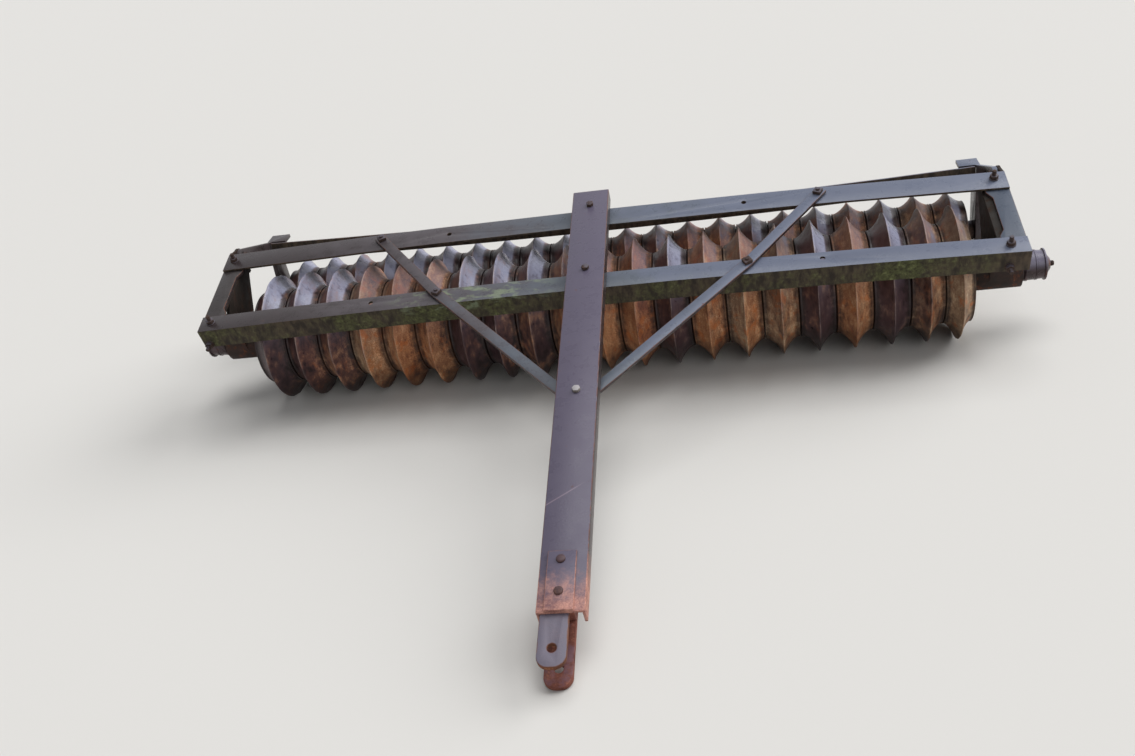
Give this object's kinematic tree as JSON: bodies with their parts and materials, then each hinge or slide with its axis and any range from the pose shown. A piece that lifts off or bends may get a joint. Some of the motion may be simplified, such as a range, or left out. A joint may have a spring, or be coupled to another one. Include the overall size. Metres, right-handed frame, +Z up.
{
  "type": "cultipacker",
  "caption": "Towed soil roller: two gangs of ridged cast wheels under and behind an angle-iron frame, with a channel tongue, braces and a clevis hitch.",
  "frame": {"origin": "on the ground below the middle of the machine's outline in plan, parked with its tongue down", "axes": "+X across the machine along the shafts, +Y to the rear, away from the hitch, +Z up"},
  "size_m": [2.5648, 1.9354, 0.5017],
  "materials": {
    "weathered_steel": "weathered dark steel with a thin film of rust",
    "rusty_steel": "rusty steel",
    "cast_iron": "rusted cast iron with worn crests"
  },
  "bodies": {
    "frame": {"front_rail": "weathered_steel", "back_rail": "weathered_steel", "end_bar_left": "weathered_steel", "end_bar_right": "weathered_steel", "end_hanger_left": "cast_iron", "end_hanger_right": "cast_iron", "tongue": "weathered_steel", "hitch_strap": "rusty_steel", "clevis_upper": "rusty_steel", "clevis_lower": "rusty_steel", "clevis_block": "rusty_steel", "brace_left": "weathered_steel", "brace_right": "weathered_steel", "pivot_brackets": "weathered_steel", "pivot_pins": "rusty_steel"},
    "front_gang": {"front_wheels": "cast_iron", "front_shaft": "rusty_steel", "front_collars": "rusty_steel", "front_hub_caps": "cast_iron"},
    "rear_frame": {"rear_rail": "weathered_steel", "rear_arm_left": "cast_iron", "rear_arm_right": "cast_iron"},
    "rear_gang": {"rear_wheels": "cast_iron", "rear_shaft": "rusty_steel", "rear_collars": "rusty_steel"}
  },
  "joints": [
    {"name": "front_gang_spin", "type": "hinge", "parent": "frame", "child": "front_gang", "pos_m": [0, 0.42567, 0.1905], "axis": [1, 0, 0], "continuous": true},
    {"name": "rear_frame_swing", "type": "hinge", "parent": "frame", "child": "rear_frame", "pos_m": [0, 0.59439, 0.39742], "axis": [1, 0, 0], "range_deg": [-10, 30]},
    {"name": "rear_gang_spin", "type": "hinge", "parent": "rear_frame", "child": "rear_gang", "pos_m": [0, 0.84067, 0.127], "axis": [1, 0, 0], "continuous": true}
  ]
}
